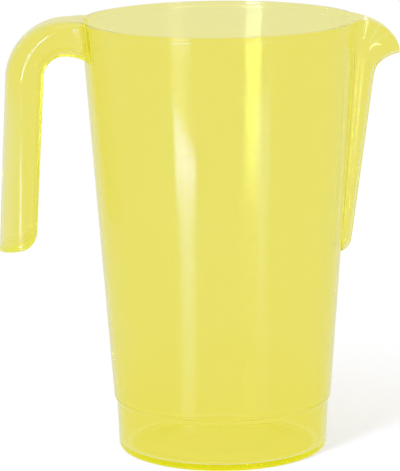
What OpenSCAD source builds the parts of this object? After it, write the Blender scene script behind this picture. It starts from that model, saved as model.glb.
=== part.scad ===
// Beer pitcher: a clear one-piece moulding, drawn as the members that its wall is made of.
// Millimetres, +Z up. The origin is on the table, under the centre of the foot.
// The spout points to +X and the handle to -X.

/* [Barrel] */
// Outside diameter of the barrel at the rim, behind the bead
rim_d = 134.8; // [118:0.2:150]
// Outside diameter of the barrel just above the stacking step
barrel_low_d = 108; // [100:1:114]
// Height from the table to the top of the rim
height = 214.4; // [200:0.2:240]
// Thickness of the moulded wall
wall = 1.8; // [1.2:0.1:2.4]

/* [Rim] */
// Height of the bead round the outside of the rim
bead_h = 3; // [2:0.1:5]
// How far the bead stands out from the barrel
bead_out = 0.4; // [0.2:0.1:1]

/* [Foot] */
// Height of the foot, from the table to the stacking step
foot_h = 23.5; // [14:0.5:30]
// Height of the sloping stacking step
step_h = 3.5; // [2:0.5:9]
// How far the stacking step draws the wall in
step_in = 1.4; // [0.6:0.1:2.5]
// How far the foot draws in from the step down to the heel
foot_draft = 0.8; // [0.2:0.1:2]
// Radius of the rounded heel
heel_r = 2.5; // [1.5:0.1:3.5]
// Width of the flat ring that the pitcher stands on
stand_w = 4; // [2:0.5:8]
// Thickness of the floor
floor_t = 1.8; // [1.5:0.1:3.5]
// Clearance between the floor and the table
floor_rise = 1; // [0.8:0.1:3]

/* [Spout] */
// Angle of barrel wall beside the lip, on each side, that belongs to the spout
panel_angle = 2.4; // [1:0.2:6]
// Height of barrel wall under the channel that belongs to the spout
panel_h = 4; // [2:0.5:10]
// Height of the pouring lip, from where it turns out of the channel up to the rim
lip_h = 29.5; // [24:0.5:36]
// Length of the channel below the pouring lip
channel_len = 87; // [60:0.5:100]
// How far the channel stands out of the barrel at its closed lower end
channel_low_out = 5.3; // [4:0.1:7]
// How far the channel stands out of the barrel under the lip
channel_top_out = 10.4; // [7:0.1:12]
// Radius of the channel's back at its lower end
channel_low_r = 3.6; // [3:0.1:6]
// Radius of the channel's back under the lip
channel_top_r = 7.5; // [5:0.1:9]
// Radius where the channel's lower end runs into the barrel
channel_low_blend = 2.8; // [1.5:0.1:5]
// Radius where the channel runs into the barrel under the lip
channel_top_blend = 6; // [3:0.1:9]
// Radius of the rounding that closes the channel's lower end
channel_end_r = 6.5; // [4:0.1:9]
// How far the tip of the lip stands out of the barrel
tip_out = 21.2; // [15:0.2:26]
// How far the tip lies below the rim
tip_drop = 18.2; // [10:0.2:22]
// Radius of the tip, seen from above
tip_r = 8; // [5:0.1:10]
// Radius where the lip runs into the rim, seen from above
lip_blend = 18; // [12:0.5:22]
// Angle of the lip at its tip, from the vertical
lip_tilt = 76; // [50:1:85]

/* [Handle] */
// Width of the handle
handle_w = 34; // [28:0.5:40]
// Room for fingers, between the barrel's rim and the grip
finger_gap = 18.5; // [16:0.5:26]
// Depth of the grip, from its back to its finger side
grip_depth = 18.8; // [16:0.2:24]
// Depth of the handle where it leaves the rim
root_depth = 16.8; // [12:0.2:20]
// How far the handle's top climbs above the rim
handle_rise = 1.3; // [0:0.1:3]
// How far the handle spreads to each side where it runs into the barrel
root_flare = 6; // [2:0.2:8]
// How far the handle's finger side drops where it runs into the barrel
root_drop = 4.6; // [1:0.2:8]
// Radius of the back of the arch
arch_r = 30; // [24:0.5:34]
// Radius of the finger side inside the arch
arch_inner_r = 10; // [6:0.5:14]
// Length of the grip below the arch
grip_len = 83.6; // [60:0.2:100]
// How far the grip leans out at its lower end
grip_lean = 4.7; // [1:0.1:8]
// Rise of the lower end, from the back of the grip to its finger side
end_rise = 3.6; // [0:0.2:6]
// Radius of the lower corner of the finger side
end_r = 8; // [4:0.5:12]
// Thickness of the wall that closes the handle's lower end
end_t = 2.4; // [1:0.2:5]
// Radius of the handle's long corners on its finger side
finger_corner_r = 5; // [2.6:0.2:7]
// How many times wider than deep the long corners of the handle's back are
back_spread = 1.75; // [1:0.05:2]
// Depth of the corners of the handle's back at the rim
root_corner_r = 3; // [2.6:0.1:6]
// Depth of the corners of the handle's back at the top of the arch
arch_top_corner_r = 5; // [3:0.1:9]
// Depth of the corners of the handle's back at the lower end of the arch
arch_corner_r = 9.5; // [4:0.1:14]
// Depth of the corners of the grip's back at its lower end
end_corner_r = 13; // [6:0.1:14]

/* [Hidden] */
plastic = [0.91, 0.86, 0.36, 0.8];
$fn = 96;

// Radii and heights of the foot, the barrel and the rim, and how far a cut runs past a face
rim_r = rim_d / 2;
step_top_z = foot_h + step_h;
step_top_r = barrel_low_d / 2;
foot_top_r = step_top_r - step_in;
heel_top_r = foot_top_r - foot_draft;
stand_r = heel_top_r - heel_r;
floor_r = stand_r - stand_w;
floor_top_z = floor_rise + floor_t;
bead_z = height - bead_h;
cut_past = 1;

// Places along the spout
lip_z = height - lip_h;
channel_z = lip_z - channel_len;
channel_full_z = channel_z + channel_end_r;
panel_z = channel_z - panel_h;
tip_reach = rim_r + tip_out;
lip_join = blend_angle(blend_centre(rim_r, tip_reach, tip_r, lip_blend));
lip_start_x = rim_r * cos(lip_join);
spout_angle = lip_join + panel_angle;

// How the spout's faces are divided, and how they curve
back_columns = 7;
blend_columns = 6;
panel_columns = 3;
end_rows = 9;
channel_rows = 10;
lip_rows = 12;
level_rows = 4;
lip_pull = 0.4;
tip_softness = 0.08;
climb_step = 1;

// Places along the handle
grip_reach = rim_r + finger_gap + grip_depth;
arch_x = grip_reach - arch_r;
arch_z = height + handle_rise - arch_r;
inner_arch_x = rim_r + finger_gap - arch_inner_r;
inner_arch_z = height + handle_rise - root_depth - arch_inner_r;
end_z = arch_z - grip_len;
end_share = 1 - end_t / grip_len;
root_angle = asin((handle_w / 2 + root_flare) / rim_r);

// How the handle's faces are divided, and the least flat that its corners leave
web_columns = 4;
corner_columns = 6;
side_columns = 3;
root_rows = 6;
arch_rows = 12;
grip_rows = 12;
grip_shares = concat([for (i = [0:grip_rows]) end_share * i / grip_rows], [1]);
least_flat = 0.5;

function mix(a, b, t) = a + (b - a) * t;
function unit(v) = v / norm(v);
function clamp(x, low, high) = min(max(x, low), high);
function reversed(list) = [for (i = [len(list) - 1:-1:0]) list[i]];

// Outside radius of the barrel, and of the foot, at a height
function barrel_r(z) = mix(step_top_r, rim_r, (z - step_top_z) / (height - step_top_z));
function foot_r(z) = mix(heel_top_r, foot_top_r, (z - heel_r) / (foot_h - heel_r));

// A point mirrored to the other side of the middle, and a whole row from its half
function mirrored(p) = [for (k = [0:len(p) - 1]) k == 1 ? -p[k] : p[k]];
function both_sides(half) = concat(
    [for (p = reversed(half)) mirrored(p)],
    [for (i = [1:len(half) - 1]) half[i]]
);

// A closed loop from its half, whose two ends lie on the middle
function whole_loop(half) = concat(
    [for (p = reversed(half)) mirrored(p)],
    [for (i = [1:len(half) - 2]) half[i]]
);

// Centre of the hollow arc that touches a barrel of radius r and the round back of the spout,
// and the angle at which that arc meets the barrel
function blend_centre(r, reach, back_r, blend_r) =
    let (
        back_x = reach - back_r,
        x = (pow(r + blend_r, 2) - pow(back_r + blend_r, 2) + pow(back_x, 2)) / (2 * back_x)
    )
    [x, sqrt(pow(r + blend_r, 2) - pow(x, 2))];
function blend_angle(centre) = atan2(centre[1], centre[0]);

// One half of a level cut through the spout, from its middle round to the edge of its panel:
// an arc round the back, a hollow arc that runs into the barrel, and the barrel itself
function spout_half(r, reach, back_r, blend_r) =
    let (
        back_x = reach - back_r,
        centre = blend_centre(r, reach, back_r, blend_r),
        turn = atan2(centre[1], centre[0] - back_x),
        join = blend_angle(centre)
    )
    concat(
        [for (i = [0:back_columns])
            let (a = turn * i / back_columns)
            [back_x + back_r * cos(a), back_r * sin(a)]],
        [for (i = [1:blend_columns])
            let (a = 180 + mix(turn, join, i / blend_columns))
            centre + blend_r * [cos(a), sin(a)]],
        [for (i = [1:panel_columns])
            let (a = mix(join, spout_angle, i / panel_columns))
            r * [cos(a), sin(a)]]
    );

// How much of its depth the channel has at a height, near its rounded lower end
function channel_share(z, inset) =
    z <= channel_z + inset ? 0
    : z >= channel_full_z ? 1
    : sqrt(1 - pow((channel_full_z - z) / (channel_end_r - inset), 2));

// One level row of the channel, on its outside or inset by the wall
function channel_row(z, inset) =
    let (
        t = (z - channel_full_z) / (lip_z - channel_full_z),
        r = barrel_r(z) - inset,
        reach = r + mix(channel_low_out, channel_top_out, t),
        back_r = mix(channel_low_r, channel_top_r, t) - inset,
        blend_r = mix(channel_low_blend, channel_top_blend, t) + inset,
        share = channel_share(z, inset)
    )
    [for (p = both_sides(spout_half(r, reach, back_r, blend_r)))
        let (q = unit(p) * mix(r, norm(p), share)) [q[0], q[1], z]];

channel_levels = concat(
    [panel_z],
    [for (i = [0:end_rows]) mix(channel_full_z, channel_z, cos(90 * i / end_rows))],
    [for (i = [1:channel_rows]) mix(channel_full_z, lip_z, i / channel_rows)]
);

// How far the lip's edge has fallen below the rim: a quarter ellipse, eased at the tip
function lip_fall(x) =
    let (
        out = clamp((x - lip_start_x) / (tip_reach - lip_start_x), 0, 1),
        left = norm([sqrt(1 - out * out), tip_softness]) - tip_softness
    )
    tip_drop * (1 - left / (norm([1, tip_softness]) - tip_softness));

lip_edge = [for (p = both_sides(spout_half(rim_r, tip_reach, tip_r, lip_blend)))
    [p[0], p[1], height - lip_fall(p[0])]];
lip_columns = len(lip_edge) - 1;

// The outside of the lip: each column bends from the top of the channel out to the lip's edge
lip_foot = channel_row(lip_z, 0);
lip_foot_climb = lip_foot - channel_row(lip_z - climb_step, 0);
barrel_tilt = atan2(rim_r - step_top_r, height - step_top_z);
lip_outside = [for (i = [0:lip_rows])
    [for (j = [0:lip_columns])
        let (
            v = i / lip_rows,
            from = lip_foot[j],
            to = lip_edge[j],
            pull = lip_pull * norm(to - from),
            spread = clamp((norm([to[0], to[1]]) - rim_r) / tip_out, 0, 1),
            tilt = mix(barrel_tilt, lip_tilt, spread),
            after_from = from + pull * unit(lip_foot_climb[j]),
            before_to = to - pull * [sin(tilt), 0, cos(tilt)]
        )
        pow(1 - v, 3) * from + 3 * pow(1 - v, 2) * v * after_from
            + 3 * (1 - v) * pow(v, 2) * before_to + pow(v, 3) * to]];

// The outward direction of a grid of points at row i and column j
function grid_normal(grid, i, j) =
    let (
        up = grid[min(i + 1, len(grid) - 1)][j] - grid[max(i - 1, 0)][j],
        across = grid[i][min(j + 1, len(grid[i]) - 1)] - grid[i][max(j - 1, 0)]
    )
    unit(cross(across, up));

// The inside of the lip, a wall's thickness in, and level with the channel where they meet
lip_foot_inside = channel_row(lip_z, wall);
lip_inside = [for (i = [0:lip_rows])
    [for (j = [0:lip_columns])
        let (
            level = unit(lip_foot[j] - lip_foot_inside[j]),
            share = (j == 0 || j == lip_columns) ? 0 : min(1, i / level_rows)
        )
        lip_outside[i][j] - wall * unit(mix(level, grid_normal(lip_outside, i, j), share))]];

// One half of the handle's section: [depth from its back, distance from its middle], from the middle
// of the back, round its broad corner, along the side and round to the middle of the finger side
function handle_half(depth, half_w, asked_r, inset) =
    let (
        back_d = min(asked_r, depth - finger_corner_r - least_flat),
        back_w = min(asked_r * back_spread, half_w - least_flat),
        finger_d = depth - finger_corner_r,
        finger_w = half_w - finger_corner_r,
        finger_r = finger_corner_r - inset
    )
    concat(
        [for (i = [0:web_columns - 1]) [inset, (half_w - back_w) * i / web_columns]],
        [for (i = [0:corner_columns])
            let (a = 90 * i / corner_columns)
            [back_d - (back_d - inset) * cos(a), half_w - back_w + (back_w - inset) * sin(a)]],
        [for (i = [1:side_columns]) [mix(back_d, finger_d, i / side_columns), half_w - inset]],
        [for (i = [1:corner_columns])
            let (a = 90 * i / corner_columns)
            [finger_d + finger_r * sin(a), finger_w + finger_r * cos(a)]],
        [for (i = [1:web_columns]) [depth - inset, finger_w * (1 - i / web_columns)]]
    );

// The arch at an angle from its top: its back and its finger side, in X and Z, and its corners
function arch_back(a) = [-arch_x, arch_z] + arch_r * [-sin(a), cos(a)];
function arch_edge(a) = [-inner_arch_x, inner_arch_z] + arch_inner_r * [-sin(a), cos(a)];
function arch_corner(a) = mix(arch_top_corner_r, arch_corner_r, sin(a));

// A row across the root, which starts on the barrel and ends at the arch
function root_row(i, inset) =
    let (
        share = 1 - cos(90 * i / root_rows),
        near = 1 - sin(90 * i / root_rows),
        top_z = mix(height + handle_rise, height, pow(near, 2)),
        depth = norm(arch_edge(0) - arch_back(0)),
        aim = (arch_edge(0) - arch_back(0)) / depth,
        corner_r = mix(root_corner_r, arch_corner(0), share),
        half = handle_half(depth + root_drop * near, handle_w / 2 + root_flare * near, corner_r, inset)
    )
    [for (p = whole_loop(half))
        let (
            z = top_z + aim[1] * p[0],
            barrel_x = -sqrt(pow(barrel_r(z), 2) - pow(p[1], 2))
        )
        [mix(barrel_x, -arch_x + aim[0] * p[0], share), p[1], z]];

// A row across the arch, at an angle from its top
function arch_row(a, inset) =
    let (
        back = arch_back(a),
        depth = norm(arch_edge(a) - back),
        aim = (arch_edge(a) - back) / depth
    )
    [for (p = whole_loop(handle_half(depth, handle_w / 2, arch_corner(a), inset)))
        let (q = back + aim * p[0]) [q[0], p[1], q[1]]];

// The lower end of the grip at a depth from its back: it rises, and rounds off at the finger side
function end_height(d) =
    let (over = clamp((d - grip_depth + end_r) / end_r, 0, 1))
    end_z + end_rise * d / grip_depth + end_r * (1 - sqrt(1 - pow(over, 2)));

// One half of a row across the grip, at a share of the way from the arch to the lower end
function grip_half(t, inset) =
    let (
        back = arch_back(90),
        depth = norm(arch_edge(90) - back),
        aim = (arch_edge(90) - back) / depth,
        corner_r = mix(arch_corner(90), end_corner_r, t)
    )
    [for (p = handle_half(depth, handle_w / 2, corner_r, inset))
        let (
            d = p[0] * grip_depth / depth,
            q = mix(back + aim * p[0], [-grip_reach - grip_lean + d, end_height(d)], t)
        )
        [q[0], p[1], q[1]]];

// A whole row across the grip, and the side of the hollow inside it, between its flat back and front
function grip_row(t, inset) = whole_loop(grip_half(t, inset));
function hollow_side(t) =
    let (half = grip_half(t, wall))
    [for (i = [web_columns:len(half) - 1 - web_columns]) half[i]];

// A closed skin between an outside and an inside grid of points of the same size,
// whose rows are open, or run right round as loops
module skin(outside, inside, loops = false) {
    columns = len(outside[0]);
    last_row = len(outside) - 1;
    last_column = columns - 1;
    last_span = loops ? last_column : last_column - 1;
    points = concat([for (row = outside) each row], [for (row = inside) each row]);
    function outer(i, j) = i * columns + j % columns;
    function inner(i, j) = (last_row + 1 + i) * columns + j % columns;
    function halves(a, b, c, d) = [[a, b, c], [a, c, d]];
    walls = [for (i = [0:last_row - 1], j = [0:last_span])
        each concat(
            halves(outer(i, j), outer(i + 1, j), outer(i + 1, j + 1), outer(i, j + 1)),
            halves(inner(i, j), inner(i, j + 1), inner(i + 1, j + 1), inner(i + 1, j)))];
    ends = [for (j = [0:last_span])
        each concat(
            halves(outer(0, j), outer(0, j + 1), inner(0, j + 1), inner(0, j)),
            halves(outer(last_row, j + 1), outer(last_row, j),
                inner(last_row, j), inner(last_row, j + 1)))];
    sides = loops ? [] : [for (i = [0:last_row - 1])
        each concat(
            halves(outer(i + 1, 0), outer(i, 0), inner(i, 0), inner(i + 1, 0)),
            halves(outer(i, last_column), outer(i + 1, last_column),
                inner(i + 1, last_column), inner(i, last_column)))];
    polyhedron(points, concat(walls, ends, sides));
}

// A ring of the wall, whose outside runs straight from one radius and height to another
module wall_ring(low_r, low_z, top_r, top_z) {
    rotate_extrude()
        polygon([[low_r - wall, low_z], [low_r, low_z], [top_r, top_z], [top_r - wall, top_z]]);
}

// The wedge that the spout's panel takes out of the barrel, from its lower edge up past the rim
module spout_wedge() {
    far = 2 * rim_r;
    half_w = far * tan(spout_angle);
    translate([0, 0, panel_z])
        linear_extrude(height)
            polygon([[0, 0], [far, -half_w], [far, half_w]]);
}

module floor_disc() color(plastic)
    translate([0, 0, floor_rise])
        cylinder(r = floor_r, h = floor_t);

module foot_ring() color(plastic)
    rotate_extrude()
        union() {
            translate([stand_r, heel_r])
                intersection() {
                    circle(heel_r);
                    translate([0, -heel_r])
                        square(heel_r);
                }
            translate([floor_r, 0])
                square([stand_w, floor_top_z]);
            polygon([[stand_r, heel_r], [heel_top_r, heel_r],
                [foot_r(floor_top_z), floor_top_z], [stand_r, floor_top_z]]);
        }

module foot_wall() color(plastic)
    wall_ring(foot_r(floor_top_z), floor_top_z, foot_top_r, foot_h);

module stacking_step() color(plastic)
    wall_ring(foot_top_r, foot_h, step_top_r, step_top_z);

module barrel_wall() color(plastic)
    difference() {
        wall_ring(step_top_r, step_top_z, barrel_r(bead_z), bead_z);
        spout_wedge();
    }

// The rim's wall and bead run from one side of the spout round to the other,
// and the bead is left out where the handle meets the barrel
module rim_band() color(plastic)
    difference() {
        rotate([0, 0, spout_angle])
            rotate_extrude(angle = 360 - 2 * spout_angle)
                polygon([[barrel_r(bead_z) - wall, bead_z], [barrel_r(bead_z), bead_z],
                    [rim_r + bead_out, bead_z + bead_out], [rim_r + bead_out, height - bead_out],
                    [rim_r, height], [rim_r - wall, height]]);
        rotate([0, 0, 180 - root_angle])
            rotate_extrude(angle = 2 * root_angle)
                polygon([[barrel_r(bead_z - cut_past), bead_z - cut_past],
                    [rim_r + bead_out + cut_past, bead_z - cut_past],
                    [rim_r + bead_out + cut_past, height + cut_past],
                    [barrel_r(height + cut_past), height + cut_past]]);
    }

module spout_channel() color(plastic)
    skin([for (z = channel_levels) channel_row(z, 0)], [for (z = channel_levels) channel_row(z, wall)]);

module pouring_lip() color(plastic)
    skin(lip_outside, lip_inside);

module handle_root() color(plastic)
    skin([for (i = [0:root_rows]) root_row(i, 0)], [for (i = [0:root_rows]) root_row(i, wall)], true);

module handle_arch() color(plastic)
    skin([for (i = [0:arch_rows]) arch_row(90 * i / arch_rows, 0)],
        [for (i = [0:arch_rows]) arch_row(90 * i / arch_rows, wall)], true);

module handle_grip() color(plastic)
    skin([for (t = grip_shares) grip_row(t, 0)], [for (t = grip_shares) grip_row(t, wall)], true);

module handle_end() color(plastic) {
    side = [hollow_side(end_share), hollow_side(1)];
    skin(side, [for (row = side) [for (p = row) mirrored(p)]]);
}

floor_disc();
foot_ring();
foot_wall();
stacking_step();
barrel_wall();
rim_band();
spout_channel();
pouring_lip();
handle_root();
handle_arch();
handle_grip();
handle_end();
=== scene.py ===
import math
from types import SimpleNamespace

import bpy
from mathutils import Matrix, Vector


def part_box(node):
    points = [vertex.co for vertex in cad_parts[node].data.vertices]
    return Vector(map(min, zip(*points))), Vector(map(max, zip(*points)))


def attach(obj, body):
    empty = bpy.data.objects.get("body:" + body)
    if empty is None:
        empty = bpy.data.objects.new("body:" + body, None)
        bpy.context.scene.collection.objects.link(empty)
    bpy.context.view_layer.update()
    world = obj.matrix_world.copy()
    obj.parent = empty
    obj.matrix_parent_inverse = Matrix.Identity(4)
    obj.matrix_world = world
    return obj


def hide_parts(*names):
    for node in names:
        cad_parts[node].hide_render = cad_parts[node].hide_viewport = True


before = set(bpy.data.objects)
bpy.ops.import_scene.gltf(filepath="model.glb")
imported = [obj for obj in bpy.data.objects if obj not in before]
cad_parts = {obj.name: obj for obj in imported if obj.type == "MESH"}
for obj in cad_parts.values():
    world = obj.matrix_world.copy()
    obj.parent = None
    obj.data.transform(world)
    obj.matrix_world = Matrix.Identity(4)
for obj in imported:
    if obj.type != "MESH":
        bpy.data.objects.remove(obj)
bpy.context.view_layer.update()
scene = bpy.context.scene
quarter = math.pi / 2
seamReach = 0.000004  # points of a skin that lie nearer than this become one
print("frame loaded:", len(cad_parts), "members of one moulding")


# A socket in a node tree. Arithmetic on it adds Math nodes, and make adds any other node.
class Wire:
    def __init__(self, tree, socket=None):
        self.tree = tree
        self.socket = socket

    def make(self, kind, settings=None, sockets=None, out=0):
        node = self.tree.nodes.new(kind)
        for name, value in (settings or {}).items():
            setattr(node, name, value)
        for name, value in (sockets or {}).items():
            if isinstance(value, Wire):
                self.tree.links.new(value.socket, node.inputs[name])
            else:
                node.inputs[name].default_value = value
        return Wire(self.tree, node.outputs[out]) if node.outputs else None

    def calc(self, operation, *terms):
        return self.make("ShaderNodeMath", {"operation": operation}, dict(enumerate(terms)))

    def __add__(self, other):
        return self.calc("ADD", self, other)

    def __radd__(self, other):
        return self.calc("ADD", other, self)

    def __sub__(self, other):
        return self.calc("SUBTRACT", self, other)

    def __rsub__(self, other):
        return self.calc("SUBTRACT", other, self)

    def __mul__(self, other):
        return self.calc("MULTIPLY", self, other)

    def __rmul__(self, other):
        return self.calc("MULTIPLY", other, self)

    def __truediv__(self, other):
        return self.calc("DIVIDE", self, other)

    def __rtruediv__(self, other):
        return self.calc("DIVIDE", other, self)

    def __pow__(self, other):
        return self.calc("POWER", self, other)


def sine(a):
    return a.calc("SINE", a)


def cosine(a):
    return a.calc("COSINE", a)


def root(a):
    return a.calc("SQRT", a.calc("MAXIMUM", a, 0))


def arctan(y, x):
    return y.calc("ARCTAN2", y, x)


def clamp(a):
    return a.make("ShaderNodeMath", {"operation": "ADD", "use_clamp": True}, {0: a, 1: 0})


def smooth(a):
    t = clamp(a)
    return t * t * (3 - 2 * t)


def mix(a, b, t):
    return a + (b - a) * t


# Sizes of the vessel, read from the frame where its members show them
rimLow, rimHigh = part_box("rim_band")
stepLow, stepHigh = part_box("stacking_step")
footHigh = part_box("foot_wall")[1]
floorLow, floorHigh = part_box("floor_disc")
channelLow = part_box("spout_channel")[0]
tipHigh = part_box("pouring_lip")[1]
channelLead = 0.004  # the channel swells out from this far above the foot of its solid
vessel = {
    "height": rimHigh.z,
    "wall": 0.0018,
    "beadHeight": rimHigh.z - rimLow.z,
    "beadOut": 0.0004,
    "lowRadius": stepHigh.y,
    "footHeight": stepLow.z,
    "stepTop": stepHigh.z,
    "footRadius": footHigh.y,
    "footDraft": 0.0008,
    "heelRadius": 0.0025,
    "standWidth": 0.004,
    "floorRadius": floorHigh.y,
    "floorRise": floorLow.z,
    "floorTop": floorHigh.z,
    "dishWidth": 0.02,
    "innerFillet": 0.0025,
    "lipHeight": 0.0295,
    "channelStart": channelLow.z + channelLead,
    "channelEnd": 0.0065,
    "lowOut": 0.0053,
    "topOut": 0.0104,
    "lowBack": 0.0036,
    "topBack": 0.0075,
    "lowBlend": 0.0028,
    "topBlend": 0.006,
    "tipReach": tipHigh.x,
    "tipDrop": 0.0182,
    "tipBack": 0.008,
    "tipBlend": 0.018,
    "tipSoft": 0.08,
    "tipTilt": math.radians(76),
    "lipPull": 0.4,
    "climbStep": 0.001,
}
vessel["rimRadius"] = rimHigh.y - vessel["beadOut"]
vessel["slope"] = (vessel["rimRadius"] - vessel["lowRadius"]) / (vessel["height"] - vessel["stepTop"])
vessel["wallTilt"] = math.atan(vessel["slope"])
vessel["channelFull"] = vessel["channelStart"] + vessel["channelEnd"]
vessel["lipFoot"] = vessel["height"] - vessel["lipHeight"]

# How many rows and columns of the skin each zone has
vesselRows = {"under": 5, "ring": 6, "stand": 2, "heel": 8, "foot": 6, "step": 6, "barrel": 10,
              "end": 9, "channel": 14, "lip": 16, "bead": 4}
vesselColumns = {"back": 14, "blend": 14, "wall": 132}

# Sizes of the handle, which hangs from the rim
archLow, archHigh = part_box("handle_arch")
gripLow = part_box("handle_grip")[0]
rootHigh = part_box("handle_root")[1]
gripDepth = 0.0188
archDepth = 0.0168
innerRadius = 0.01
handle = {
    "height": vessel["height"],
    "rimRadius": vessel["rimRadius"],
    "slope": vessel["slope"],
    "halfWidth": archHigh.y,
    "rootFlare": rootHigh.y - archHigh.y,
    "rootDrop": 0.0046,
    "rise": archHigh.z - vessel["height"],
    "gripReach": -archLow.x,
    "gripDepth": gripDepth,
    "lean": archLow.x - gripLow.x,
    "archRadius": 0.03,
    "innerRadius": innerRadius,
    "innerX": -archLow.x - gripDepth - innerRadius,
    "innerZ": archHigh.z - archDepth - innerRadius,
    "endZ": gripLow.z,
    "gripEase": 1.6,
    "endRise": 0.0036,
    "endRadius": 0.008,
    "rootCorner": 0.003,
    "topCorner": 0.005,
    "archCorner": 0.0095,
    "endCorner": 0.013,
    "fingerCorner": 0.005,
    "backSpread": 1.75,
    "leastFlat": 0.0005,
    "inset": 0,
    "backInset": 0,
    "sunk": 0.0009,
    "endLift": 0,
}
# The hollow inside it keeps a wall all round and at the lower end, and flares half as much at the root
hollow = dict(handle, inset=vessel["wall"], backInset=0.001, sunk=-0.0001, endLift=0.0024,
              rootFlare=handle["rootFlare"] / 2, rootDrop=handle["rootDrop"] / 2)
handleRows = {"cap": 6, "root": 20, "arch": 36, "grip": 18, "close": 5}
handleColumns = {"web": 8, "corner": 24, "side": 5, "finger": 14, "palm": 6}


# A tree with one named input for each size, and the wires that carry them
def sizeTree(name, sizes):
    tree = bpy.data.node_groups.new(name, "GeometryNodeTree")
    tree.interface.new_socket("Geometry", in_out="OUTPUT", socket_type="NodeSocketGeometry")
    tree.interface.new_socket("material", in_out="INPUT", socket_type="NodeSocketMaterial")
    for label in sizes:
        tree.interface.new_socket(label, in_out="INPUT", socket_type="NodeSocketFloat")
    entry = tree.nodes.new("NodeGroupInput")
    wires = SimpleNamespace(**{label: Wire(tree, entry.outputs[label]) for label in sizes})
    return tree, wires, Wire(tree, entry.outputs["material"])


# Ends a tree: closes the skin's seams, smooths it and gives it its material
def endTree(skin, material):
    joined = skin.make("GeometryNodeMergeByDistance", {}, {"Geometry": skin, "Distance": seamReach})
    shaded = skin.make("GeometryNodeSetShadeSmooth", {}, {"Geometry": joined})
    single = skin.make("GeometryNodeRealizeInstances", {}, {"Geometry": shaded})
    painted = skin.make("GeometryNodeSetMaterial", {}, {"Geometry": single, "Material": material})
    skin.make("NodeGroupOutput", {}, {"Geometry": painted})


# A flat grid, whose index gives each point's row and column
def skinGrid(tree, columns, rows):
    start = Wire(tree)
    grid = start.make("GeometryNodeMeshGrid", {}, {"Vertices X": columns, "Vertices Y": rows})
    index = start.make("GeometryNodeInputIndex")
    return grid, index.calc("FLOOR", (index + 0.5) / rows), index.calc("FLOORED_MODULO", index, rows)


def place(skin, x, y, z):
    spot = skin.make("ShaderNodeCombineXYZ", {}, {"X": x, "Y": y, "Z": z})
    return skin.make("GeometryNodeSetPosition", {}, {"Geometry": skin, "Position": spot})


# The way a skin faces at the point with an index
def facing(skin, index):
    normal = skin.make("GeometryNodeInputNormal")
    there = skin.make("GeometryNodeSampleIndex", {"data_type": "FLOAT_VECTOR"},
                      {"Geometry": skin, "Value": normal, "Index": index})
    return [skin.make("ShaderNodeSeparateXYZ", {}, {0: there}, axis) for axis in "XYZ"]


# Share of the way through each named zone of a line of rows or columns
def zoneShares(line, zones):
    shares = {}
    start = 0
    for name, count in zones.items():
        shares[name] = clamp((line - start) / count)
        start += count
    return SimpleNamespace(**shares)


# A level cut through the spout: its round back, a hollow blend and then the barrel
def spoutCut(part, r, reach, back, blend):
    backX = reach - back
    centreX = ((r + blend) ** 2 - (back + blend) ** 2 + backX ** 2) / (backX * 2)
    centreY = root((r + blend) ** 2 - centreX ** 2)
    turn = arctan(centreY, centreX - backX)
    join = arctan(centreY, centreX)
    backTurn = turn * part.back
    blendTurn = mix(turn, join, part.blend)
    wallTurn = mix(join, math.pi, part.wall)
    x = backX + back * cosine(backTurn) - blend * (cosine(blendTurn) - cosine(turn)) \
        + r * (cosine(wallTurn) - cosine(join))
    y = back * sine(backTurn) - blend * (sine(blendTurn) - sine(turn)) + r * (sine(wallTurn) - sine(join))
    return x, y, root(x * x + y * y)


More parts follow.
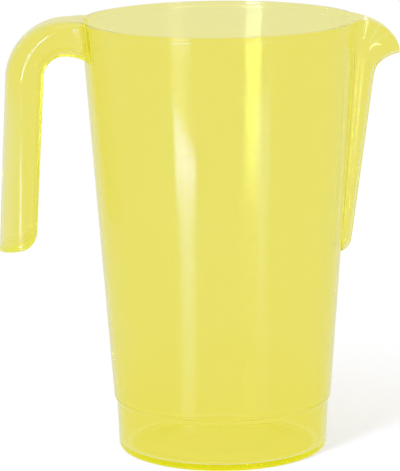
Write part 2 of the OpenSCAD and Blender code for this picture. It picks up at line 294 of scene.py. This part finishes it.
def vesselTree():
    tree, p, material = sizeTree("vessel wall", vessel)
    lastRow = sum(vesselRows.values())
    half = sum(vesselColumns.values())
    rowCount = 2 * lastRow + 2
    grid, column, rowIndex = skinGrid(tree, 2 * half + 1, rowCount)

    # The first half of the rows climbs the outside and the second comes back down the inside
    row = rowIndex.calc("MINIMUM", rowIndex, rowCount - 1 - rowIndex)
    inside = rowIndex.calc("GREATER_THAN", rowIndex, lastRow + 0.5)
    side = rowIndex.calc("SIGN", column - half)
    part = zoneShares(rowIndex.calc("ABSOLUTE", column - half), vesselColumns)
    zone = zoneShares(row, vesselRows)

    # Profile from under the floor, round the heel and the step and up the barrel to the lip's foot
    heelTop = p.footRadius - p.footDraft
    heelTurn = zone.heel * quarter
    endTurn = zone.end * quarter
    stepHeight = p.stepTop - p.footHeight
    climb = (p.channelStart - p.stepTop) * zone.barrel + p.channelEnd * (1 - cosine(endTurn)) \
        + (p.lipFoot - p.channelFull) * zone.channel
    z = p.floorRise * (1 - smooth(zone.ring)) + p.heelRadius * (1 - cosine(heelTurn)) \
        + (p.footHeight - p.heelRadius) * zone.foot + stepHeight * zone.step + climb
    eased = smooth(zone.step)
    r = (p.floorRadius - p.dishWidth) * zone.under + p.dishWidth * zone.ring + p.standWidth * zone.stand \
        + p.heelRadius * sine(heelTurn) \
        + p.footDraft * zone.foot + (p.lowRadius - p.footRadius) * eased + p.slope * climb

    # The channel swells out of the barrel, from its rounded lower end to the lip's foot
    def barrelRadius(height):
        return p.rimRadius - p.slope * (p.height - height)

    def channelCut(share):
        cutRadius = barrelRadius(mix(p.channelFull, p.lipFoot, share))
        cut = spoutCut(part, cutRadius, cutRadius + mix(p.lowOut, p.topOut, share),
                       mix(p.lowBack, p.topBack, share), mix(p.lowBlend, p.topBlend, share))
        return cut, cutRadius

    (cutX, cutY, cutFar), cutRadius = channelCut(zone.channel)
    unitX = cutX / cutFar
    unitY = cutY / cutFar
    swollen = r + sine(endTurn) * (cutFar - cutRadius)

    # The lip bends from the channel's top out to its edge, which falls towards the tip
    ends = zone.channel * 0 + 1
    footCut = channelCut(ends)[0]
    lowCut = channelCut(ends - p.climbStep / (p.lipFoot - p.channelFull))[0]
    climbX = footCut[0] - lowCut[0]
    climbY = footCut[1] - lowCut[1]
    climbFar = root(climbX * climbX + climbY * climbY + p.climbStep ** 2)
    edgeX, edgeY, edgeFar = spoutCut(part, p.rimRadius, p.tipReach, p.tipBack, p.tipBlend)
    tipX = p.tipReach - p.tipBack
    joinX = ((p.rimRadius + p.tipBlend) ** 2 - (p.tipBack + p.tipBlend) ** 2 + tipX ** 2) / (tipX * 2)
    startX = joinX * p.rimRadius / (p.rimRadius + p.tipBlend)
    out = clamp((edgeX - startX) / (p.tipReach - startX))
    left = (root(1 - out * out + p.tipSoft ** 2) - p.tipSoft) / (root(1 + p.tipSoft ** 2) - p.tipSoft)
    spread = clamp((edgeFar - p.rimRadius) / (p.tipReach - p.rimRadius))
    tilt = mix(p.wallTilt, p.tipTilt, spread)
    goX = edgeX - footCut[0]
    goY = edgeY - footCut[1]
    goZ = p.lipHeight - p.tipDrop * (1 - left)
    pull = p.lipPull * root(goX * goX + goY * goY + goZ * goZ)
    beadShare = p.beadHeight / p.lipHeight / (3 * p.lipPull)
    u = zone.lip * (1 - beadShare) + zone.bead * zone.bead * beadShare
    early = 3 * (1 - u) * (1 - u) * u
    late = 3 * (1 - u) * u * u
    last = u * u * u

    def bend(go, rise, arrive):
        return early * pull * rise / climbFar + late * (go - pull * arrive) + last * go

    edgeUnitX = edgeX / edgeFar
    edgeUnitY = edgeY / edgeFar
    x = unitX * swollen + bend(goX, climbX, sine(tilt) * edgeUnitX)
    y = unitY * swollen + bend(goY, climbY, sine(tilt) * edgeUnitY)
    z = z + bend(goZ, p.climbStep, cosine(tilt))
    skin = place(grid, x, side * y, z)

    # The inside lies a wall's thickness in. Its lowest rows make the floor, its fillet and the foot's inside
    outside = column * rowCount + row.calc("MINIMUM", row, lastRow - 1)
    normalX, normalY, normalZ = facing(skin, outside)
    lastLow = sum(vesselRows[name] for name in ("under", "ring", "stand", "heel", "foot"))
    flat = row.calc("LESS_THAN", row, lastLow + 0.5)
    flatRadius = (heelTop - p.wall - p.innerFillet) * zone.under + p.innerFillet * sine(heelTurn) \
        + p.footDraft * zone.foot
    flatHeight = p.floorTop + p.innerFillet * (1 - cosine(heelTurn)) \
        + (p.footHeight - p.floorTop - p.innerFillet) * zone.foot

    # The bead is full a third of the way up its rows, and is gone soon after the rim turns into the lip
    beadSwell = 3
    beadFade = 8
    bead = p.beadOut * smooth(zone.bead * beadSwell) * (1 - clamp(spread * beadFade)) * (1 - inside)

    def moved(place, normal, flatPlace, beadUnit):
        return place + inside * mix(normal * p.wall * -1, flatPlace - place, flat) + bead * beadUnit

    seam = row.calc("GREATER_THAN", part.wall, 1 - 0.5 / vesselColumns["wall"])
    skin = place(skin, moved(x, normalX, unitX * flatRadius, edgeUnitX),
                 side * (1 - seam) * moved(y, side * normalY, unitY * flatRadius, edgeUnitY),
                 moved(z, normalZ, flatHeight, 0))
    endTree(skin, material)
    return tree


def handleTree():
    tree, p, material = sizeTree("handle", handle)
    half = sum(handleColumns.values())
    grid, columnIndex, row = skinGrid(tree, 2 * half + 1, sum(handleRows.values()) + 1)
    side = columnIndex.calc("SIGN", columnIndex - half)
    part = zoneShares(columnIndex.calc("ABSOLUTE", columnIndex - half), handleColumns)
    zone = zoneShares(row, handleRows)
    share = 1 - cosine(zone.root * quarter)
    near = 1 - sine(zone.root * quarter)
    turn = zone.arch * quarter
    down = 1 - (1 - zone.grip) ** p.gripEase

    # Back and finger side of the section along the arch
    archX = p.gripReach - p.archRadius
    archZ = p.height + p.rise - p.archRadius
    backX = archX * -1 - p.archRadius * sine(turn)
    backZ = archZ + p.archRadius * cosine(turn)
    aimX = p.innerX * -1 - p.innerRadius * sine(turn) - backX
    aimZ = p.innerZ + p.innerRadius * cosine(turn) - backZ
    deep = root(aimX * aimX + aimZ * aimZ)
    depth = deep + p.rootDrop * near
    halfWidth = p.halfWidth + p.rootFlare * near

    # Half of the section, from the middle of the broad back round to the middle of the finger side
    corner = p.topCorner + (p.archCorner - p.topCorner) * sine(turn) \
        - (p.topCorner - p.rootCorner) * (1 - share) + (p.endCorner - p.archCorner) * down
    fingerDeep = depth - p.fingerCorner
    fingerWide = halfWidth - p.fingerCorner
    fingerRadius = p.fingerCorner - p.inset
    backDeep = row.calc("MINIMUM", corner, fingerDeep - p.leastFlat)
    backWide = row.calc("MINIMUM", corner * p.backSpread, halfWidth - p.leastFlat)
    backTurn = part.corner * quarter
    fingerTurn = part.finger * quarter
    d = backDeep - (backDeep - p.backInset) * cosine(backTurn) + (fingerDeep - backDeep) * part.side \
        + fingerRadius * sine(fingerTurn)
    y = (halfWidth - backWide) * part.web + (backWide - p.inset) * sine(backTurn) \
        - fingerRadius * (1 - cosine(fingerTurn)) - fingerWide * part.palm

    # The first and last rows draw in to the middle of the section, which closes both ends
    keep = zone.cap * (1 - zone.close)
    d = mix(depth * 0.5, d, keep)
    y = side * y * keep
    ridgeX = backX + aimX / deep * d
    ridgeZ = backZ + aimZ / deep * d - p.rise * near * near

    # The root starts in the barrel's wall, and the grip leans out to its rounded lower end
    barrelRadius = p.rimRadius - p.slope * (p.height - ridgeZ)
    barrelX = p.sunk - root(barrelRadius * barrelRadius - y * y)
    gripD = d * p.gripDepth / deep
    over = clamp((gripD - p.gripDepth + p.endRadius) / p.endRadius)
    endHeight = p.endZ + p.endLift + p.endRise * gripD / p.gripDepth \
        + p.endRadius * (1 - root(1 - over * over))
    x = mix(mix(barrelX, ridgeX, share), gripD - p.gripReach - p.lean, down)
    endTree(place(grid, x, y, mix(ridgeZ, endHeight, down)), material)
    return tree


# Runs a tree on an empty mesh and keeps what it makes as a plain mesh
def grow(name, tree, sizes, material):
    made = bpy.data.objects.new(name, bpy.data.meshes.new(name))
    scene.collection.objects.link(made)
    modifier = made.modifiers.new("shape", "NODES")
    modifier.node_group = tree
    for item in tree.interface.items_tree:
        if item.in_out == "INPUT":
            modifier[item.identifier] = material if item.name == "material" else float(sizes[item.name])
    settle(made)
    return made


# Turns an object's modifiers into its own mesh
def settle(made):
    evaluated = made.evaluated_get(bpy.context.evaluated_depsgraph_get())
    mesh = bpy.data.meshes.new_from_object(evaluated)
    made.modifiers.clear()
    old = made.data
    made.data = mesh
    bpy.data.meshes.remove(old)
    mesh.name = made.name


# How far edges are rounded, and the least bend of an edge that is rounded, or else shaded as sharp
rounding = {
    "vessel": 0.0008,
    "handle": 0.0007,
    "steps": 8,
    "roundBend": math.radians(60),
    "sharpBend": math.radians(32),
}


def roundEdges(made, width):
    bevel = made.modifiers.new("rounding", "BEVEL")
    bevel.width = width
    bevel.segments = rounding["steps"]
    bevel.limit_method = "ANGLE"
    bevel.angle_limit = rounding["roundBend"]
    settle(made)


# Clear yellow plastic, with the faint waves and flow lines of moulding
plastic = {
    "pale": (0.997, 0.957, 0.459, 1),
    "deep": (0.996, 0.953, 0.43, 1),
    # paler tint for the back of the grip: its thinner wall, and painted sheen of the white room on its
    # rounded back
    "thinWallAndSheen": (0.998, 0.975, 0.64, 1),
    "paleBackDepth": 0.011,
    # deeper tint for the foot: the floor's own layer, and painted shade of the table under it
    "foot": (0.996, 0.951, 0.395, 1),
    "footFade": 0.025,
    "absorbColour": (0.9999, 0.998, 0.02, 1),
    "absorbDensity": 42,
    "ior": 1.2,
    "specular": 1.0,
    "cloudNoise": (24, 3),  # each noise has a scale and a detail
    "cloudFrom": 0.3,
    "cloudGain": 2.5,
    "flowNoise": (9, 2),
    "flowStretch": 1.5,
    "waveNoise": (30, 1),
    "waveShare": 0.5,
    "waveHeight": 0.0002,
    "waveStrength": 0.05,
    "smoothest": 0.1,
    "roughest": 0.13,
    "smearNoise": (70, 4),
    "smearFrom": 0.4,
    "smearGain": 3,
}


def plasticMaterial():
    material = bpy.data.materials.new("clear yellow plastic")
    material.use_nodes = True
    tree = material.node_tree
    tree.nodes.clear()
    start = Wire(tree)
    where = start.make("ShaderNodeTexCoord", out="Object")
    x, y, z = (start.make("ShaderNodeSeparateXYZ", {}, {0: where}, axis) for axis in "XYZ")

    def noise(vector, kind):
        scale, detail = plastic[kind]
        return start.make("ShaderNodeTexNoise", {}, {"Vector": vector, "Scale": scale, "Detail": detail})

    def blend(a, b, share):
        return start.make("ShaderNodeMix", {"data_type": "RGBA"}, {"Factor": share, 6: a, 7: b}, 2)

    cloudy = clamp((noise(where, "cloudNoise") - plastic["cloudFrom"]) * plastic["cloudGain"])
    tint = blend(plastic["pale"], plastic["deep"], cloudy)

    # The back of the grip is painted paler: its wall is thinner there, and painted sheen stands in for the
    # white room mirrored on its rounded back
    bendZ = handle["height"] + handle["rise"] - handle["archRadius"]
    back = handle["gripReach"] + handle["lean"] * clamp((bendZ - z) / (bendZ - handle["endZ"]))
    underArch = smooth((bendZ + handle["topCorner"] - z) / handle["archRadius"])
    thinWallAndSheen = smooth(1 - (x + back) / plastic["paleBackDepth"]) * underArch
    tint = blend(tint, plastic["thinWallAndSheen"], thinWallAndSheen)

    # The foot is painted a deeper yellow towards the bottom: the floor adds its own layer there, and painted
    # shade stands in for the table under the foot, which gets light only through the yellow plastic
    low = smooth((vessel["stepTop"] + plastic["footFade"] - z) / plastic["footFade"])
    tint = blend(tint, plastic["foot"], low)

    # Flow lines run round the barrel, with soft waves over them and a few smears in the gloss
    around = arctan(y, x)
    lines = start.make("ShaderNodeCombineXYZ", {},
                       {"X": cosine(around), "Y": sine(around), "Z": z * plastic["flowStretch"]})
    waves = noise(lines, "flowNoise") + noise(where, "waveNoise") * plastic["waveShare"]
    bump = start.make("ShaderNodeBump", {}, {
        "Strength": plastic["waveStrength"], "Distance": plastic["waveHeight"], "Height": waves})
    smear = clamp((noise(where, "smearNoise") - plastic["smearFrom"]) * plastic["smearGain"])
    shader = start.make("ShaderNodeBsdfPrincipled", {}, {
        "Base Color": tint,
        "Roughness": mix(plastic["smoothest"], plastic["roughest"], smear),
        "IOR": plastic["ior"],
        "Specular IOR Level": plastic["specular"],
        "Transmission Weight": 1.0,
        "Normal": bump,
    })
    dye = start.make("ShaderNodeVolumeAbsorption", {}, {
        "Color": plastic["absorbColour"], "Density": plastic["absorbDensity"]})
    start.make("ShaderNodeOutputMaterial", {}, {"Surface": shader, "Volume": dye})
    return material


look = plasticMaterial()
wallObject = grow("pitcher_moulding", vesselTree(), vessel, look)
roundEdges(wallObject, rounding["vessel"])
handleForm = handleTree()
handleObject = grow("handle_shape", handleForm, handle, look)
roundEdges(handleObject, rounding["handle"])
hollowObject = grow("handle_hollow", handleForm, hollow, look)
print("vessel", len(wallObject.data.polygons), "faces, handle", len(handleObject.data.polygons), "faces")

# The handle is moulded in one with the vessel, so the shapes become one closed piece
for other, operation in ((handleObject, "UNION"), (hollowObject, "DIFFERENCE")):
    join = wallObject.modifiers.new(other.name, "BOOLEAN")
    join.operation = operation
    join.solver = "MANIFOLD"
    join.object = other
    settle(wallObject)
    bpy.data.objects.remove(other)
wallObject.data.set_sharp_from_angle(angle=rounding["sharpBend"])
evened = wallObject.modifiers.new("normals that follow the large faces", "WEIGHTED_NORMAL")
evened.keep_sharp = True
settle(wallObject)
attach(wallObject, "root")
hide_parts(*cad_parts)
print("moulding", len(wallObject.data.polygons), "faces")

# How bright the white room is to the camera, mirrored in the plastic or seen through it, and to all else
room = {"seen": 1.0, "through": 0.83, "ambient": 0.5}
white = (1, 1, 1, 1)


# 1 on rays that the plastic mirrors or lets through
def plasticRays(start):
    glossy = start.make("ShaderNodeLightPath", out="Is Glossy Ray")
    passing = start.make("ShaderNodeLightPath", out="Is Transmission Ray")
    return start.calc("MAXIMUM", glossy, passing)


def glowOf(start, colour, strength):
    return start.make("ShaderNodeEmission", {}, {"Color": colour, "Strength": strength})


# A pale table, which keeps the pitcher's shadow near the foot and fades into the white room further off
table = {
    "size": 3.0,
    "front": -0.482,
    "albedo": (0.38, 0.355, 0.28, 1),
    "glow": 0.62,
    "fadeStart": 0.06,
    "fadeEnd": 0.24,
}
tableMiddle = table["front"] + table["size"] / 2
bpy.ops.mesh.primitive_plane_add(size=table["size"], location=(0, tableMiddle, 0))
floor = bpy.context.object
floor.name = "table"
floorLook = bpy.data.materials.new("pale table")
floorLook.use_nodes = True
floorLook.node_tree.nodes.clear()
start = Wire(floorLook.node_tree)
matt = start.make("ShaderNodeBsdfDiffuse", {}, {"Color": table["albedo"]})
lit = start.make("ShaderNodeAddShader", {}, {0: matt, 1: glowOf(start, white, table["glow"])})
where = start.make("ShaderNodeTexCoord", out="Object")
away = start.make("ShaderNodeVectorMath", {"operation": "DISTANCE"},
                  {0: where, 1: (0, -tableMiddle, 0)}, "Value")
fade = smooth((away - table["fadeStart"]) / (table["fadeEnd"] - table["fadeStart"]))
shown = start.make("ShaderNodeMixShader", {}, {"Fac": fade, 1: lit, 2: glowOf(start, white, room["seen"])})
steady = glowOf(start, white, room["through"])
surface = start.make("ShaderNodeMixShader", {}, {"Fac": plasticRays(start), 1: shown, 2: steady})
start.make("ShaderNodeOutputMaterial", {}, {"Surface": surface})
floor.data.materials.append(floorLook)

world = bpy.data.worlds.new("white room")
scene.world = world
world.use_nodes = True
world.node_tree.nodes.clear()
start = Wire(world.node_tree)
camera = start.make("ShaderNodeLightPath", out="Is Camera Ray")
level = room["ambient"] + (room["seen"] - room["ambient"]) * camera \
    + (room["through"] - room["ambient"]) * plasticRays(start)
backdrop = start.make("ShaderNodeBackground", {}, {"Color": white, "Strength": level})
start.make("ShaderNodeOutputWorld", {}, {"Surface": backdrop})


# A soft lamp that faces a point. All show in the plastic's gloss, and some show through the plastic too
def softLamp(name, place, aim, width, height, radiance, colour, through):
    lamp = bpy.data.lights.new(name, "AREA")
    lamp.shape = "RECTANGLE"
    lamp.size = width
    lamp.size_y = height
    lamp.energy = radiance * math.pi * width * height
    lamp.color = colour
    made = bpy.data.objects.new(name, lamp)
    scene.collection.objects.link(made)
    made.location = place
    made.rotation_euler = (Vector(aim) - Vector(place)).to_track_quat("-Z", "Y").to_euler()
    made.visible_camera = False
    made.visible_transmission = through


# Cool softboxes at both sides of the camera, by their turn from the front in degrees and their heights
coolLight = (0.45, 0.54, 1.0)
leftSide = {"turn": 34.8, "far": 1.35, "width": 0.327}
rightSide = {"turn": -35.3, "far": 1.35, "width": 0.33}
softBoxes = {
    "left softbox": dict(leftSide, low=0.24, high=1.3, radiance=48, through=False),
    "left strip": dict(leftSide, low=0.053, high=0.24, radiance=46, through=True),
    "left low card": dict(leftSide, low=-0.155, high=-0.06, radiance=34, through=False),
    "right softbox": dict(rightSide, low=0.25, high=1.3, radiance=12, through=False),
    "right low card": dict(rightSide, low=0.053, high=0.25, radiance=7, through=True),
}
for name, box in softBoxes.items():
    turn = math.radians(box["turn"])
    spot = (-box["far"] * math.sin(turn), -box["far"] * math.cos(turn), (box["low"] + box["high"]) / 2)
    softLamp(name, spot, (0, 0, spot[2]), box["width"], box["high"] - box["low"], box["radiance"],
             coolLight, box["through"])
topBox = {"place": (0, 0.3, 1.7), "aim": (0, 0, 0.1), "size": 1.2, "radiance": 1.2}
softLamp("top softbox", topBox["place"], topBox["aim"], topBox["size"], topBox["size"], topBox["radiance"],
         white[:3], True)

# What the softboxes leave on the table in front of the pitcher, which its wall mirrors: the corners of each
# card, its least and greatest turn in degrees, and its brightness at some distances from the pitcher
tableGlows = {
    "left table glow": {
        "corners": [(-0.09, -0.08), (-0.48, -0.482), (-0.18, -0.482), (-0.03, -0.09)],
        "turns": (23, 43),
        "levels": [(0.1, 4.5), (0.24, 10.0), (0.35, 14.5), (0.44, 20.0), (0.5, 44.0), (0.62, 54.0)],
    },
    "right table glow": {
        "corners": [(0.03, -0.09), (0.22, -0.6), (0.5, -0.545), (0.1, -0.09)],
        "turns": (24, 40),
        "levels": [(0.1, 1.2), (0.25, 3.2), (0.45, 7.2), (0.6, 9.0)],
    },
}
glowCard = {"lift": 0.001, "nearSoft": 8, "farSoft": 2.5, "softStart": 0.4, "softRun": 0.1}


def tableGlow(name, corners, turns, levels):
    mesh = bpy.data.meshes.new(name)
    mesh.from_pydata([(x, y, glowCard["lift"]) for x, y in corners], [], [(0, 1, 2, 3)])
    card = bpy.data.objects.new(name, mesh)
    scene.collection.objects.link(card)
    glowLook = bpy.data.materials.new(name)
    glowLook.use_nodes = True
    glowLook.node_tree.nodes.clear()
    start = Wire(glowLook.node_tree)
    where = start.make("ShaderNodeTexCoord", out="Object")
    far = start.make("ShaderNodeVectorMath", {"operation": "LENGTH"}, {0: where}, "Value")
    x, y = (start.make("ShaderNodeSeparateXYZ", {}, {0: where}, axis) for axis in "XY")
    level = far * 0 + levels[0][1]
    for (d0, l0), (d1, l1) in zip(levels, levels[1:]):
        level = level + (l1 - l0) * clamp((far - d0) / (d1 - d0))

    # Soft along its sides, and more so near the pitcher
    turn = arctan(start.calc("ABSOLUTE", x), y * -1) * math.degrees(1)
    outwards = clamp((far - glowCard["softStart"]) / glowCard["softRun"])
    soft = mix(glowCard["nearSoft"], glowCard["farSoft"], outwards)
    level = level * smooth((turn - turns[0]) / soft) * smooth((turns[1] - turn) / soft)
    brightest = levels[-1][1]
    steady = glowOf(start, white, room["through"])
    full = start.make("ShaderNodeAddShader", {}, {0: steady, 1: glowOf(start, (*coolLight, 1), brightest)})
    surface = start.make("ShaderNodeMixShader", {}, {"Fac": level / brightest, 1: steady, 2: full})
    start.make("ShaderNodeOutputMaterial", {}, {"Surface": surface})
    mesh.materials.append(glowLook)
    card.visible_camera = False
    card.visible_diffuse = False
    card.visible_transmission = False
    card.visible_shadow = False


for name, glow in tableGlows.items():
    tableGlow(name, **glow)
print("table and lamps placed")

# Camera found from the photo's outlines
shot = {
    "place": (-0.08926, -1.45946, 0.41445),
    "heading": 3.0917,
    "pitch": 11.8923,
    "roll": -0.6286,
    "lens": 230.97,
    "sensor": 36,
}
eye = bpy.data.cameras.new("camera")
eye.lens = shot["lens"]
eye.sensor_width = shot["sensor"]
cameraObject = bpy.data.objects.new("camera", eye)
scene.collection.objects.link(cameraObject)
cameraObject.matrix_world = Matrix.Translation(shot["place"]) \
    @ Matrix.Rotation(math.radians(-shot["heading"]), 4, "Z") \
    @ Matrix.Rotation(math.radians(90 - shot["pitch"]), 4, "X") \
    @ Matrix.Rotation(math.radians(shot["roll"]), 4, "Z")
scene.camera = cameraObject
scene.view_settings.view_transform = "Standard"

# Light passes many walls, and the clamp lets a softbox show in the far wall as seen through the near one
lightPaths = {"bounces": 96, "clamp": 40}
for kind in ("max", "diffuse", "glossy", "transmission", "volume"):
    setattr(scene.cycles, kind + "_bounces", lightPaths["bounces"])
scene.cycles.sample_clamp_indirect = lightPaths["clamp"]
